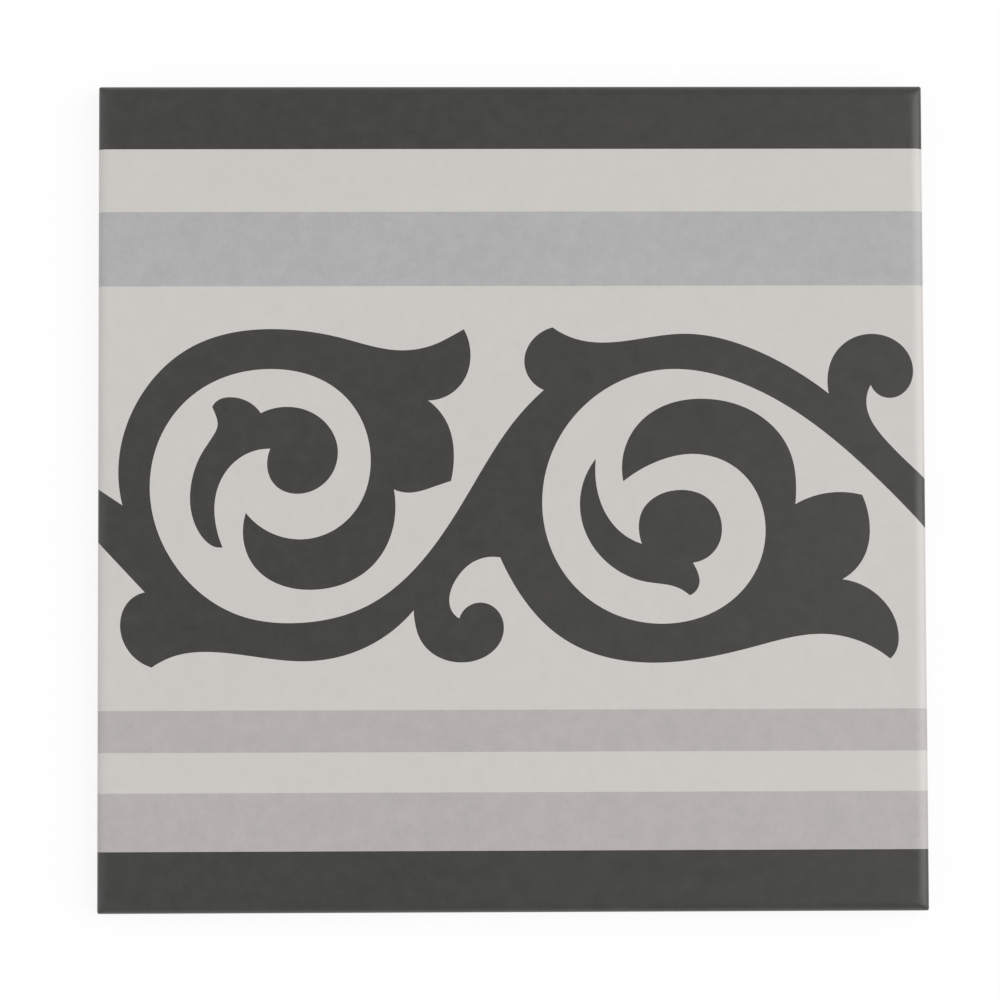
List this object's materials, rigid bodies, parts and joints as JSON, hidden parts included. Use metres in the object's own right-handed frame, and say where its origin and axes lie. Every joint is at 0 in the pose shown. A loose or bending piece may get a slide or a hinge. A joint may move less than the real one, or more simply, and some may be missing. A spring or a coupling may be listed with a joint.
{
  "type": "border tile",
  "caption": "Square ceramic border tile with a dark running scroll on a pale field between grey and dark stripes, rounded face edge and a keyed back.",
  "frame": {"origin": "middle of the back, on the plane of the keying ribs that lies in the adhesive", "axes": "+Z out of the patterned face, +X along the run of the border, +Y across the border from the double grey stripes to the single one"},
  "size_m": [0.2, 0.2, 0.008],
  "materials": {
    "glazed_body": "matt"
  },
  "bodies": {
    "root": {"tile": "glazed_body"}
  },
  "joints": []
}
